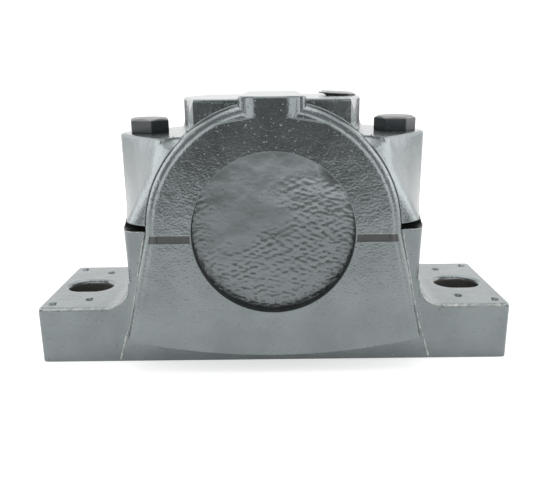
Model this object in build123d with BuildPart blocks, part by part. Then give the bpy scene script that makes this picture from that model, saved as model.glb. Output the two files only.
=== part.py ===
"""Split plummer block: a two-piece cast housing on slotted feet, with a bearing on an adapter sleeve inside.

Frame, in millimetres: origin at the middle of the machined underside, +X along the feet, +Z up. The shaft
runs along Y. The closed end faces -Y and the open shaft end faces +Y.
"""

import os
from math import acos, atan2, cos, pi, sin, sqrt

from build123d import *

os.makedirs("parts", exist_ok=True)

# ---- driving dimensions: feet and base ----
base_body_half = 62.3
foot_reach = 40.2
base_depth = 61.2
foot_height = 25.0
foot_corner_radius = 2.5
foot_edge_radius = 1.6
foot_fillet = 10.0
slot_from_end = 15.2
slot_length = 20.0
slot_width = 15.0
slot_rim_radius = 2.0
dimple_radius = 2.2
dimple_centre_radius = 0.22
dimple_depth = 1.1
inner_dimple_from_end, inner_dimple_from_side = 20.1, 11.1
outer_dimple_from_end, outer_dimple_from_side = 5.5, 5.6
centre_height = 60.0

# ---- driving dimensions: body at the joint, lugs and block of the cap ----
joint_half_length = 62.0
joint_half_depth = 35.6
joint_corner_radius = 5.0
bolt_offset = 54.6
lug_boss_radius = 12.8
lug_drop = 15.2
lug_top_corner = 42.5
lug_top_corner_radius = 3.0
foot_boss_radius = 8.4
boss_rise = 0.7
crown_rise = 0.9
block_half_width = 38.2
block_side_flat = 4.0
block_foot_corner = 34.3
block_top_corner = 30.3
block_fillet = 6.0
cast_edge_radius = 1.2

# ---- driving dimensions: noses and pad ----
housing_width = 87.6
nose_radius = 51.3
nose_edge_radius = 4.4
nose_root_radius = 3.8
nose_foot_half_width = 61.5
nose_foot_height = 15.6
nose_belly_height = 8.4
pad_half_width = 13.0
pad_rise = 1.2
pad_corner_radius = 4.0
pad_edge_radius = 0.9
joint_strip_height = 3.2
joint_strip_depth = 0.5
joint_strip_half = 46.5

# ---- driving dimensions: bores ----
seat_radius = 45.0
seat_width = 41.0
chamber_step = 4.0
opening_radius = 32.9
groove_radius = 37.0
groove_width = 5.0
lip_width = 4.3
inner_lip_width = 3.0
cap_relief = 0.3

# ---- driving dimensions: pry notches, pins, bolts and plug ----
notch_start = 54.2
notch_height = 3.3
notch_depth = 11.0
pin_radius = 2.5
pin_length = 16.0
pin_x, pin_y = 52.5, 17.5
pin_clearance = 0.1
pin_chamfer = 0.5
bolt_radius = 5.0
bolt_grip = 23.0
bolt_head_height = 6.4
bolt_head_flats = 16.0
bolt_head_face_radius = 7.76
bolt_head_bevel = 60
bolt_hole_radius = 5.5
thread_clearance = 0.2
hole_end_gap = 3.0
bolt_tip_chamfer = 1.0
left_head_turn, right_head_turn = 34.0, 4.0
plug_x = 28.7
plug_flange_radius = 8.2
plug_flange_height = 1.2
plug_top_radius = 7.05
plug_top_height = 1.1
plug_stem_radius = 4.7
plug_stem_length = 9.0
plug_hole_radius = 5.0
plug_wall = 1.2

# ---- driving dimensions: bearing, sleeve and seals ----
bearing_bore = 50.0
bearing_width = 20.0
shoulder_drop = 3.4
ball_radius = 4.5
pitch_drop = 0.4
ball_row_offset = 4.9
balls_per_row = 16
race_play = 0.15
cage_thickness = 3.4
cage_width = 18.6
window_depth = 10.0
window_play = 0.35
sleeve_wall = 2.5
sleeve_length = 35.0
sleeve_tail = 12.5
sleeve_slit = 3.0
taper = 1.0 / 12.0
nut_wall = 10.25
nut_width = 10.5
nut_slots = 4
nut_slot_width = 7.0
nut_slot_depth = 3.5
washer_thickness = 1.25
washer_wall = 5.75
washer_tab_reach = 3.5
washer_tab_width = 5.0
washer_tab_root = 1.0
washer_tabs = 12
seal_lip_gap = 0.4
seal_lip_width = 0.8
seal_lip_spread = 3.2
seal_lip_depth = 2.6
thread_depth = 0.25
ring_chamfer = 1.0
nut_chamfer = 1.0
seal_side_clearance = 0.3
cover_clearance = 0.4
cover_ring_width = 2.0
cover_ring_depth = 1.6

# ---- how far a cut runs past the face it opens, and how near an edge has to be to count as there ----
overrun = 1.0
near = 0.1

# ---- places worked out from the sizes above ----
base_length = 2 * (base_body_half + foot_reach)
slot_spacing = base_length - 2 * slot_from_end
block_height = centre_height + nose_radius + crown_rise
lug_top_height = block_height - lug_drop
pad_height = block_height + pad_rise
chamber_radius = seat_radius - chamber_step
nose_y = housing_width / 2
base_y = base_depth / 2
seat_y = seat_width / 2
groove_outer_y = nose_y - lip_width
groove_inner_y = groove_outer_y - groove_width
chamber_y = groove_inner_y - inner_lip_width
bolt_length = lug_top_height - centre_height + bolt_grip
bolt_x = {"left": -bolt_offset, "right": bolt_offset}
head_turn = {"left": left_head_turn, "right": right_head_turn}
pin_place = {"left": (-pin_x, pin_y), "right": (pin_x, -pin_y)}
slot_places = [(-slot_spacing / 2, 0), (slot_spacing / 2, 0)]
dimple_places = [(side * (base_length / 2 - from_end), end * (base_y - from_side))
                 for side in (-1, 1) for end in (-1, 1)
                 for from_end, from_side in ((inner_dimple_from_end, inner_dimple_from_side),
                                             (outer_dimple_from_end, outer_dimple_from_side))]
root_swing = nose_root_radius * (1 - cos(pi / 4))
foot_nose_x = nose_radius + (nose_foot_half_width - nose_radius) * (centre_height - foot_height) / (
    centre_height - nose_foot_height)
cover_middle = -(groove_outer_y + groove_inner_y) / 2
seal_middle = (groove_outer_y + groove_inner_y) / 2
seal_lip_start = seal_middle - seal_lip_spread
seal_lip_end = seal_middle + seal_lip_spread
thread_radius = bearing_bore / 2 - thread_depth
shaft_radius = bearing_bore / 2 - sleeve_wall
nut_radius = thread_radius + nut_wall
washer_body_radius = thread_radius + washer_wall
washer_tab_radius = washer_body_radius + washer_tab_reach
seal_lip_radius = shaft_radius + seal_lip_gap
seal_web_radius = seal_lip_radius + seal_lip_depth
ball_pitch_radius = (bearing_bore / 2 + seat_radius) / 2 - pitch_drop
inner_ring_radius = ball_pitch_radius - shoulder_drop
window_size = 2 * (ball_radius + window_play)
shaft_axis = Axis((0, 0, centre_height), (0, 1, 0))


def round_shaft(radius, y, angle):
    """A place this far out from the shaft line, turned with the angle, which starts at the top."""
    return Location((radius * sin(angle), y, centre_height + radius * cos(angle)), (0, angle * 180 / pi, 0))


def ball_places(row, y):
    """The places of one row's balls; the two rows stand half a step apart."""
    shift = 0.5 if row == "rear" else 0
    return [round_shaft(ball_pitch_radius, y, 2 * pi * (number + shift) / balls_per_row)
            for number in range(balls_per_row)]


def plan_section(corner_x, corner_y, corner_radius, boss_radius, inset=0):
    """A body section seen from above: four round corners and a boss round each bolt, joined by tangents.

    The inset draws the whole outline in by that much. The boss always stands a little proud of the corners.
    """
    corner_radius -= inset
    boss_radius = max(boss_radius - inset, corner_x + corner_radius + boss_rise - bolt_offset)
    distance = sqrt((bolt_offset - corner_x) ** 2 + corner_y**2)
    heading = atan2(corner_y, corner_x - bolt_offset)
    normal = heading - acos((boss_radius - corner_radius) / distance)
    nx, ny = cos(normal), sin(normal)
    middle = (normal + pi / 2) / 2
    corner_start = (corner_x, corner_y + corner_radius)
    corner_middle = (corner_x + corner_radius * cos(middle), corner_y + corner_radius * sin(middle))
    corner_end = (corner_x + corner_radius * nx, corner_y + corner_radius * ny)
    boss_start = (bolt_offset + boss_radius * nx, boss_radius * ny)
    boss_middle = (bolt_offset + boss_radius * cos(normal / 2), boss_radius * sin(normal / 2))
    boss_end = (bolt_offset + boss_radius, 0)
    with BuildSketch() as section:
        with BuildLine():
            Line((0, corner_y + corner_radius), corner_start)
            ThreePointArc(corner_start, corner_middle, corner_end)
            Line(corner_end, boss_start)
            ThreePointArc(boss_start, boss_middle, boss_end)
            mirror(about=Plane.XZ)
            mirror(about=Plane.YZ)
        make_face()
    return section.sketch


def block_section(corner_x):
    """A section of the cap's middle block seen from above, with its four corners cut off at a slant."""
    with BuildSketch() as section:
        with BuildLine():
            Polyline((0, joint_half_depth), (corner_x, joint_half_depth), (block_half_width, block_side_flat),
                     (block_half_width, 0))
            mirror(about=Plane.XZ)
            mirror(about=Plane.YZ)
        make_face()
    return section.sketch


def lug_top(inset):
    """The section of the cap's lugs at their top, drawn in by the inset."""
    return plan_section(lug_top_corner, joint_half_depth - lug_top_corner_radius, lug_top_corner_radius,
                        lug_boss_radius, inset)


def root_section(side_x, front_y):
    """A nose with its hollow roots, seen from above: its side at side_x and the body's front at front_y."""
    back_y = front_y + nose_root_radius
    root_x = side_x + nose_root_radius
    with BuildSketch() as section:
        with BuildLine():
            Line((0, front_y - nose_root_radius), (side_x, front_y - nose_root_radius))
            ThreePointArc((side_x, front_y - nose_root_radius), (side_x + root_swing, front_y - root_swing),
                          (root_x, front_y))
            Polyline((root_x, front_y), (root_x, back_y), (0, back_y))
            mirror(about=Plane.YZ)
        make_face()
    return section.sketch


def bore_space(relief):
    """The stepped space turned out along the shaft line; relief widens the bearing's seat and the grooves."""
    steps = [
        (nose_y + overrun, opening_radius), (groove_outer_y, opening_radius),
        (groove_outer_y, groove_radius + relief), (groove_inner_y, groove_radius + relief),
        (groove_inner_y, opening_radius), (chamber_y, opening_radius),
        (chamber_y, chamber_radius), (seat_y, chamber_radius), (seat_y, seat_radius + relief),
    ]
    outline = [(y, centre_height + r) for y, r in steps]
    with BuildPart() as space:
        with BuildSketch(Plane.YZ):
            with BuildLine():
                Polyline(*outline, *[(-y, z) for y, z in reversed(outline)])
                Polyline(outline[0], (nose_y + overrun, centre_height), (-nose_y - overrun, centre_height),
                         (-outline[0][0], outline[0][1]))
            make_face()
        revolve(axis=shaft_axis)
    return space.part


def ring(inner, outer, start, end):
    """A plain ring round the shaft line, from start to end along Y."""
    with BuildPart() as turned:
        with BuildSketch(Plane.XZ.offset(-start)):
            with Locations((0, centre_height)):
                Circle(outer)
                Circle(inner, mode=Mode.SUBTRACT)
        extrude(amount=-(end - start))
    return turned.part


def rim_edges(turned, radius):
    """The round edges of a turned piece that have this radius."""
    return [e for e in turned.edges().filter_by(GeomType.CIRCLE) if abs(e.radius - radius) < radius / 1000]


foot_section = plan_section(base_body_half - joint_corner_radius, base_y - joint_corner_radius,
                            joint_corner_radius, foot_boss_radius)
joint_section = plan_section(joint_half_length - joint_corner_radius, joint_half_depth - joint_corner_radius,
                             joint_corner_radius, lug_boss_radius)
cast_round = [(cast_edge_radius * (1 - cos(turn)), cast_edge_radius * (1 - sin(turn)))
              for turn in (0, pi / 6, pi / 3, pi / 2)]
lug_top_sections = [(lug_top_height - drop, lug_top(inset)) for inset, drop in cast_round]
block_foot_section = block_section(block_foot_corner)
block_top_section = block_section(block_top_corner)
base_space = bore_space(0)
cap_space = bore_space(cap_relief)

# ---- housing base ----
with BuildPart() as base_nose:
    with BuildSketch(Plane.XZ.offset(-nose_y)):
        with BuildLine():
            Polyline((-nose_foot_half_width, nose_foot_height), (-nose_radius, centre_height),
                     (nose_radius, centre_height), (nose_foot_half_width, nose_foot_height))
            ThreePointArc((nose_foot_half_width, nose_foot_height), (0, nose_belly_height),
                          (-nose_foot_half_width, nose_foot_height))
        make_face()
    extrude(amount=housing_width)
    side_edges = (base_nose.edges().filter_by(GeomType.LINE).filter_by(Axis.Y, reverse=True)
                  .filter_by(Axis.X, reverse=True))
    fillet(side_edges, radius=nose_edge_radius)

with BuildPart() as base_root:
    for height, side_x, front_y in ((centre_height, nose_radius, -joint_half_depth),
                                    (foot_height, foot_nose_x, -base_y),
                                    (nose_foot_height, nose_foot_half_width, -base_y)):
        with BuildSketch(Plane.XY.offset(height)):
            add(root_section(side_x, front_y))
    loft(ruled=True)
    mirror(about=Plane.XZ)

with BuildPart() as housing_base:
    with BuildSketch():
        Rectangle(base_length, base_depth)
    extrude(amount=foot_height)
    fillet(housing_base.edges().filter_by(Axis.Z), radius=foot_corner_radius)
    fillet(housing_base.faces().sort_by(Axis.Z)[-1].edges(), radius=foot_edge_radius)
    with BuildSketch(Plane.XZ.offset(-base_y)):
        with BuildLine():
            foot_top = foot_height + foot_fillet
            foot_sink = foot_height - foot_edge_radius - overrun
            Polyline((base_body_half, foot_top), (base_body_half, foot_top + overrun),
                     (0, foot_top + overrun), (0, foot_sink), (base_body_half + foot_fillet, foot_sink),
                     (base_body_half + foot_fillet, foot_height))
            RadiusArc((base_body_half + foot_fillet, foot_height), (base_body_half, foot_top), foot_fillet)
        make_face()
        mirror(about=Plane.YZ)
    extrude(amount=base_depth)
    with BuildSketch(Plane.XY.offset(foot_height)):
        add(foot_section)
    with BuildSketch(Plane.XY.offset(centre_height)):
        add(joint_section)
    loft(ruled=True)
    add(base_root.part)
    add(base_nose.part)
    add(base_space, mode=Mode.SUBTRACT)
    with Locations((0, -nose_y, centre_height), (0, nose_y, centre_height)):
        Box(2 * joint_strip_half, 2 * joint_strip_depth, 2 * joint_strip_height, mode=Mode.SUBTRACT)
    with BuildSketch(Plane.XY.offset(foot_height)):
        with Locations(*slot_places):
            SlotOverall(slot_length, slot_width)
    extrude(amount=-foot_height, mode=Mode.SUBTRACT)
    foot_tops = housing_base.edges().filter_by_position(Axis.Z, foot_height - near, foot_height + near)
    rims = [e for e in foot_tops if abs(e.center().Y) < slot_width
            and abs(abs(e.center().X) - slot_spacing / 2) < slot_length / 2]
    fillet(rims, radius=slot_rim_radius)
    with Locations(*[(x, y, foot_height) for x, y in dimple_places]):
        CounterSinkHole(dimple_centre_radius, dimple_radius, depth=dimple_depth, counter_sink_angle=90)
    with Locations(*[(x, 0, centre_height) for x in bolt_x.values()]):
        Hole(bolt_radius + thread_clearance, depth=bolt_grip + hole_end_gap)
    with Locations(*[(x, y, centre_height) for x, y in pin_place.values()]):
        Hole(pin_radius, depth=pin_length / 2)
housing_base.part.label = "housing_base"
export_step(housing_base.part, "parts/housing_base.step")

# ---- housing cap ----
with BuildPart() as cap_nose:
    with BuildSketch(Plane.XZ.offset(-nose_y)):
        with Locations((0, centre_height)):
            Circle(nose_radius)
            with Locations((0, -nose_radius)):
                Rectangle(2 * nose_radius, 2 * nose_radius, mode=Mode.SUBTRACT)
    extrude(amount=housing_width)
    fillet(cap_nose.edges().filter_by(GeomType.CIRCLE), radius=nose_edge_radius)

with BuildPart() as cap_pad:
    pad_foot = centre_height + seat_radius
    with BuildSketch(Plane.XY.offset(pad_foot)):
        RectangleRounded(2 * pad_half_width, housing_width, pad_corner_radius)
    extrude(amount=pad_height - pad_foot)
    fillet(cap_pad.faces().sort_by(Axis.Z)[-1].edges(), radius=pad_edge_radius)

with BuildPart() as cap_lugs:
    with BuildSketch(Plane.XY.offset(centre_height)):
        add(joint_section)
    for height, section in lug_top_sections:
        with BuildSketch(Plane.XY.offset(height)):
            add(section)
    loft(ruled=True)

with BuildPart() as cap_block:
    with BuildSketch(Plane.XY.offset(lug_top_height - cast_edge_radius)):
        add(lug_top(0))
    extrude(amount=cast_edge_radius)
    with BuildSketch(Plane.XY.offset(lug_top_height)):
        add(block_foot_section)
    with BuildSketch(Plane.XY.offset(block_height)):
        add(block_top_section)
    loft(ruled=True)
    fillet(cap_block.faces().sort_by(Axis.Z)[-1].edges(), radius=cast_edge_radius)
    lug_tops = cap_block.edges().filter_by_position(Axis.Z, lug_top_height - near, lug_top_height + near)
    roots = [e for e in lug_tops if abs(e.center().X) < block_half_width + near
             and abs(e.center().Y) < joint_half_depth - near]
    fillet(roots, radius=block_fillet)
    with BuildSketch(Plane.XY.offset(lug_top_height - cast_edge_radius)):
        offset(block_foot_section, amount=block_fillet, kind=Kind.INTERSECTION)
    extrude(amount=block_height, mode=Mode.INTERSECT)

with BuildPart() as cap_body:
    add(cap_lugs.part)
    add(cap_block.part)

root_front = joint_half_depth + nose_root_radius
root_top = centre_height + nose_radius + nose_root_radius
with BuildPart() as cap_root:
    with BuildSketch(Plane.YZ):
        with BuildLine():
            Polyline((joint_half_depth, root_top), (joint_half_depth, centre_height),
                     (root_front, centre_height), (root_front, root_top - nose_root_radius))
            ThreePointArc((root_front, root_top - nose_root_radius),
                          (joint_half_depth + root_swing, root_top - nose_root_radius + root_swing),
                          (joint_half_depth, root_top))
        make_face()
    revolve(axis=shaft_axis)
    add(cap_body.part.moved(Location((0, nose_root_radius, 0))), mode=Mode.INTERSECT)
    mirror(about=Plane.XZ)

with BuildPart() as housing_cap:
    add(cap_body.part)
    add(cap_root.part)
    add(cap_nose.part)
    add(cap_pad.part)
    add(cap_space, mode=Mode.SUBTRACT)
    for x in bolt_x.values():
        with Locations((x, 0, lug_top_height)):
            Hole(bolt_hole_radius, depth=lug_top_height - centre_height)
        outward = -1 if x < 0 else 1
        notch_x = outward * (notch_start + lug_boss_radius)
        with Locations(*[(notch_x, y, centre_height) for y in (-joint_half_depth, joint_half_depth)]):
            Box(2 * lug_boss_radius, 2 * notch_depth, 2 * notch_height, mode=Mode.SUBTRACT)
    with Locations(*[(x, y, centre_height) for x, y in pin_place.values()]):
        Cylinder(pin_radius + pin_clearance, pin_length + 2 * overrun, mode=Mode.SUBTRACT)
    with Locations((plug_x, 0, block_height)):
        Hole(plug_hole_radius, depth=block_height - centre_height)
housing_cap.part.label = "housing_cap"
export_step(housing_cap.part, "parts/housing_cap.step")

# ---- cap bolts and dowel pins ----
for side, x in bolt_x.items():
    with BuildPart() as bolt:
        with BuildSketch(Plane.XY.offset(lug_top_height)):
            with Locations((x, 0)):
                RegularPolygon(bolt_head_flats / 2, 6, major_radius=False, rotation=head_turn[side])
        extrude(amount=bolt_head_height)
        with BuildSketch(Plane.XY.offset(lug_top_height + bolt_head_height)):
            with Locations((x, 0)):
                Circle(bolt_head_face_radius)
        extrude(amount=-bolt_head_height, taper=-bolt_head_bevel, mode=Mode.INTERSECT)
        with Locations((x, 0, lug_top_height)):
            Cylinder(bolt_radius, bolt_length, align=(Align.CENTER, Align.CENTER, Align.MAX))
        chamfer(bolt.edges().sort_by(Axis.Z)[0], length=bolt_tip_chamfer)
    bolt.part.label = f"cap_bolt_{side}"
    export_step(bolt.part, f"parts/cap_bolt_{side}.step")

    with BuildPart() as pin:
        with Locations((*pin_place[side], centre_height)):
            Cylinder(pin_radius, pin_length)
        chamfer(pin.edges().filter_by(GeomType.CIRCLE), length=pin_chamfer)
    pin.part.label = f"dowel_pin_{side}"
    export_step(pin.part, f"parts/dowel_pin_{side}.step")

# ---- grease plug on the shoulder ----
with BuildPart() as lubrication_plug:
    with Locations((plug_x, 0, block_height)):
        Cylinder(plug_stem_radius, plug_stem_length, align=(Align.CENTER, Align.CENTER, Align.MAX))
        Cylinder(plug_flange_radius, plug_flange_height, align=(Align.CENTER, Align.CENTER, Align.MIN))
    with Locations((plug_x, 0, block_height + plug_flange_height)):
        Cylinder(plug_top_radius, plug_top_height, align=(Align.CENTER, Align.CENTER, Align.MIN))
        Cylinder(plug_top_radius - plug_wall, plug_top_height, align=(Align.CENTER, Align.CENTER, Align.MIN),
                 mode=Mode.SUBTRACT)
lubrication_plug.part.label = "lubrication_plug"
export_step(lubrication_plug.part, "parts/lubrication_plug.step")

# ---- closed end: cover disc and its sealing cord, held in the front groove ----
cover_thickness = groove_width - seal_side_clearance
with BuildPart() as end_cover:
    with BuildSketch(Plane.XZ.offset(groove_outer_y)):
        with Locations((0, centre_height)):
            Circle(groove_radius - cover_clearance)
    extrude(amount=-cover_thickness)
    add(ring(groove_radius - cover_ring_depth, groove_radius, cover_middle - cover_ring_width / 2,
             cover_middle + cover_ring_width / 2), mode=Mode.SUBTRACT)
end_cover.part.label = "end_cover"
export_step(end_cover.part, "parts/end_cover.step")

with BuildPart() as end_cover_ring:
    add(ring(groove_radius - cover_ring_depth, groove_radius, cover_middle - cover_ring_width / 2,
             cover_middle + cover_ring_width / 2))
end_cover_ring.part.label = "end_cover_ring"
export_step(end_cover_ring.part, "parts/end_cover_ring.step")

# ---- open end: double-lip seal in two halves, held in the rear groove ----
seal_front = groove_inner_y + seal_side_clearance
seal_outer_radius = groove_radius - cover_clearance
seal_profile = [
    (seal_front, seal_outer_radius), (groove_outer_y, seal_outer_radius), (groove_outer_y, seal_web_radius),
    (seal_lip_end, seal_web_radius), (seal_lip_end, seal_lip_radius),
    (seal_lip_end - seal_lip_width, seal_lip_radius), (seal_middle, seal_web_radius),
    (seal_lip_start + seal_lip_width, seal_lip_radius), (seal_lip_start, seal_lip_radius),
    (seal_lip_start, seal_web_radius), (seal_front, seal_web_radius),
]
for half, keep in (("upper", Keep.TOP), ("lower", Keep.BOTTOM)):
    with BuildPart() as seal:
        with BuildSketch(Plane.YZ):
            with BuildLine():
                Polyline(*[(y, centre_height + r) for y, r in seal_profile], close=True)
            make_face()
        revolve(axis=shaft_axis)
        split(bisect_by=Plane.XY.offset(centre_height), keep=keep)
    seal.part.label = f"seal_{half}_half"
    export_step(seal.part, f"parts/seal_{half}_half.step")

# ---- locating rings ----
bearing_y = bearing_width / 2
for end, side in (("front", -1), ("rear", 1)):
    with BuildPart() as locating_ring:
        add(ring(chamber_radius, seat_radius, *sorted((side * bearing_y, side * seat_y))))
    locating_ring.part.label = f"locating_ring_{end}"
    export_step(locating_ring.part, f"parts/locating_ring_{end}.step")

# ---- self-aligning ball bearing ----
sphere_radius = sqrt(ball_pitch_radius**2 + ball_row_offset**2) + ball_radius + race_play
track_radius = ball_radius + race_play
with BuildPart() as bearing_outer_ring:
    with BuildSketch(Plane.YZ):
        with Locations((0, centre_height + seat_radius / 2)):
            Rectangle(bearing_width, seat_radius)
        with Locations((0, centre_height)):
            Circle(sphere_radius, mode=Mode.SUBTRACT)
    revolve(axis=shaft_axis)
    chamfer(rim_edges(bearing_outer_ring, seat_radius), length=ring_chamfer)
bearing_outer_ring.part.label = "bearing_outer_ring"
export_step(bearing_outer_ring.part, "parts/bearing_outer_ring.step")

small_bore = bearing_bore / 2
large_bore = small_bore + taper * bearing_width / 2
inner_ring_profile = [(-bearing_y, small_bore), (-bearing_y, inner_ring_radius),
                      (bearing_y, inner_ring_radius), (bearing_y, large_bore)]
track_height = centre_height + ball_pitch_radius
with BuildPart() as bearing_inner_ring:
    with BuildSketch(Plane.YZ):
        with BuildLine():
            Polyline(*[(y, centre_height + r) for y, r in inner_ring_profile], close=True)
        make_face()
        with Locations((-ball_row_offset, track_height), (ball_row_offset, track_height)):
            Circle(track_radius, mode=Mode.SUBTRACT)
    revolve(axis=shaft_axis)
bearing_inner_ring.part.label = "bearing_inner_ring"
export_step(bearing_inner_ring.part, "parts/bearing_inner_ring.step")

with BuildPart() as bearing_cage:
    add(ring(ball_pitch_radius - cage_thickness / 2, ball_pitch_radius + cage_thickness / 2,
             -cage_width / 2, cage_width / 2))
    for row, y in (("front", -ball_row_offset), ("rear", ball_row_offset)):
        with Locations(*ball_places(row, y)):
            Box(window_size, window_size, window_depth, mode=Mode.SUBTRACT)
bearing_cage.part.label = "bearing_cage"
export_step(bearing_cage.part, "parts/bearing_cage.step")

for row, y in (("front", -ball_row_offset), ("rear", ball_row_offset)):
    with BuildPart() as ball_row:
        with Locations(*ball_places(row, y)):
            Sphere(ball_radius)
    ball_row.part.label = f"ball_row_{row}"
    export_step(ball_row.part, f"parts/ball_row_{row}.step")

# ---- adapter sleeve with its lock washer and nut ----
sleeve_rear = sleeve_tail
sleeve_front = sleeve_rear - sleeve_length
sleeve_profile = [
    (sleeve_front, shaft_radius), (sleeve_front, thread_radius), (-bearing_y, thread_radius),
    (-bearing_y, small_bore), (sleeve_rear, small_bore + taper / 2 * (sleeve_rear + bearing_y)),
    (sleeve_rear, shaft_radius),
]
with BuildPart() as adapter_sleeve:
    with BuildSketch(Plane.YZ):
        with BuildLine():
            Polyline(*[(y, centre_height + r) for y, r in sleeve_profile], close=True)
        make_face()
    revolve(axis=shaft_axis)
    with Locations((0, (sleeve_front + sleeve_rear) / 2, centre_height + bearing_bore / 2)):
        Box(sleeve_slit, sleeve_length + 2 * overrun, bearing_bore / 2, mode=Mode.SUBTRACT)
adapter_sleeve.part.label = "adapter_sleeve"
export_step(adapter_sleeve.part, "parts/adapter_sleeve.step")

tab_length = washer_tab_radius - washer_body_radius + washer_tab_root
tab_middle = washer_tab_radius - tab_length / 2
with BuildPart() as lock_washer:
    add(ring(thread_radius, washer_body_radius, -bearing_y - washer_thickness, -bearing_y))
    for number in range(washer_tabs):
        angle = 2 * pi * number / washer_tabs
        with Locations(round_shaft(tab_middle, -bearing_y - washer_thickness / 2, angle)):
            Box(washer_tab_width, washer_thickness, tab_length)
lock_washer.part.label = "lock_washer"
export_step(lock_washer.part, "parts/lock_washer.step")

nut_rear = -bearing_y - washer_thickness
with BuildPart() as lock_nut:
    add(ring(thread_radius, nut_radius, nut_rear - nut_width, nut_rear))
    chamfer(rim_edges(lock_nut, nut_radius), length=nut_chamfer)
    for number in range(nut_slots):
        angle = 2 * pi * (number + 0.5) / nut_slots
        with Locations(round_shaft(nut_radius, nut_rear - nut_width / 2, angle)):
            Box(nut_slot_width, nut_width + 2 * overrun, 2 * nut_slot_depth, mode=Mode.SUBTRACT)
lock_nut.part.label = "lock_nut"
export_step(lock_nut.part, "parts/lock_nut.step")
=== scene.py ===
"""Split plummer block, dressed for looks: painted grey iron, dark screws, rubber seals, a bearing.

Points are worked out in millimetres and made in metres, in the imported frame: +X along the feet,
-Y towards the closed end, +Z up.
"""

import math

import bmesh
import bpy
import numpy as np
from mathutils import Matrix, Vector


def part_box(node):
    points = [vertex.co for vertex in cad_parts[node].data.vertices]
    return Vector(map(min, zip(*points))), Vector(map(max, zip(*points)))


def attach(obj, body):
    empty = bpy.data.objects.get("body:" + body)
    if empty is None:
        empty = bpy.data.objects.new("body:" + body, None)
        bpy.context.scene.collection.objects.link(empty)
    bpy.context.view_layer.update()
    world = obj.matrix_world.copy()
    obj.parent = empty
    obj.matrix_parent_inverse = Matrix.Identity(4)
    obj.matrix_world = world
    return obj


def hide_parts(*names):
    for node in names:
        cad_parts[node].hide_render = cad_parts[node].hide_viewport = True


MM = 0.001
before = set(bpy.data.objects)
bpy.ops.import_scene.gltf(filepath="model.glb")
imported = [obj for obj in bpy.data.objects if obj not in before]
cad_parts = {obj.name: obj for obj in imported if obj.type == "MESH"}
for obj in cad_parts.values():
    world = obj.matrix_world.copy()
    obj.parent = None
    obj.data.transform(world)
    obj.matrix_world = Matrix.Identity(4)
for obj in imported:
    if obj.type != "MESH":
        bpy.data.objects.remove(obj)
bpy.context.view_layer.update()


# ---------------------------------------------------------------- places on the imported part

CAP_LOW = np.array(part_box("housing_cap")[0]) / MM
COVER_LOW = np.array(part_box("end_cover")[0]) / MM
PLUG_LOW, PLUG_HIGH = np.array(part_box("lubrication_plug")) / MM

CENTRE_Z = CAP_LOW[2]  # the shaft line, and the joint between base and cap
NOSE_Y = CAP_LOW[1]  # the nose's front face
BODY_DEPTH = 35.6  # from the middle to the body's front and rear faces
FOOT_Y = -30.6  # the feet's front faces
FOOT_TOP = 25.0
NOSE_RADIUS = 51.3
ROOT_RADIUS = 3.8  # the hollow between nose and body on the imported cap
PAD_HALF = 13.3  # half the width of the pad where it meets the nose
OPENING_RADIUS = 32.9  # the round front opening
SCREW_X = 54.6
PAD_FRONT_X, PAD_FRONT_Z = -0.6, 105.5  # the middle and the foot of the pad's front face
PLUG_TILT = 0.062  # how far the plug's flange drops for each step to the right

SIDES = (("left", -1), ("right", 1))
FORWARD = np.array((0.0, -1.0, 0.0))


# ---------------------------------------------------------------- shader expressions


class Wire:
    """One shader socket. Arithmetic on wires adds the Math nodes that work it out."""

    def __init__(self, graph, socket):
        self.graph, self.socket = graph, socket

    def maths(self, operation, *others):
        values = dict(enumerate((self, *others)))
        return self.graph.node("ShaderNodeMath", {"operation": operation}, values)

    def __add__(self, other):
        return self.maths("ADD", other)

    def __sub__(self, other):
        return self.maths("SUBTRACT", other)

    def __rsub__(self, other):
        return self.maths("MULTIPLY", -1.0).maths("ADD", other)

    def __mul__(self, other):
        return self.maths("MULTIPLY", other)

    def __abs__(self):
        return self.maths("ABSOLUTE")

    __radd__ = __add__

    def most(self, other):
        """The larger of the two."""
        return self.maths("MAXIMUM", other)

    def rise(self, low, high):
        """Goes smoothly from 0 at low to 1 at high."""
        ends = {"Value": self, "From Min": low, "From Max": high}
        return self.graph.node("ShaderNodeMapRange", {"interpolation_type": "SMOOTHSTEP"}, ends)

    def fall(self, low, high):
        """Goes smoothly from 1 at low to 0 at high."""
        return 1.0 - self.rise(low, high)

    def within(self, low, full, still_full, high):
        """0 up to low, 1 from full to still_full, 0 again from high on."""
        return self.rise(low, full) * self.fall(still_full, high)


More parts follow.
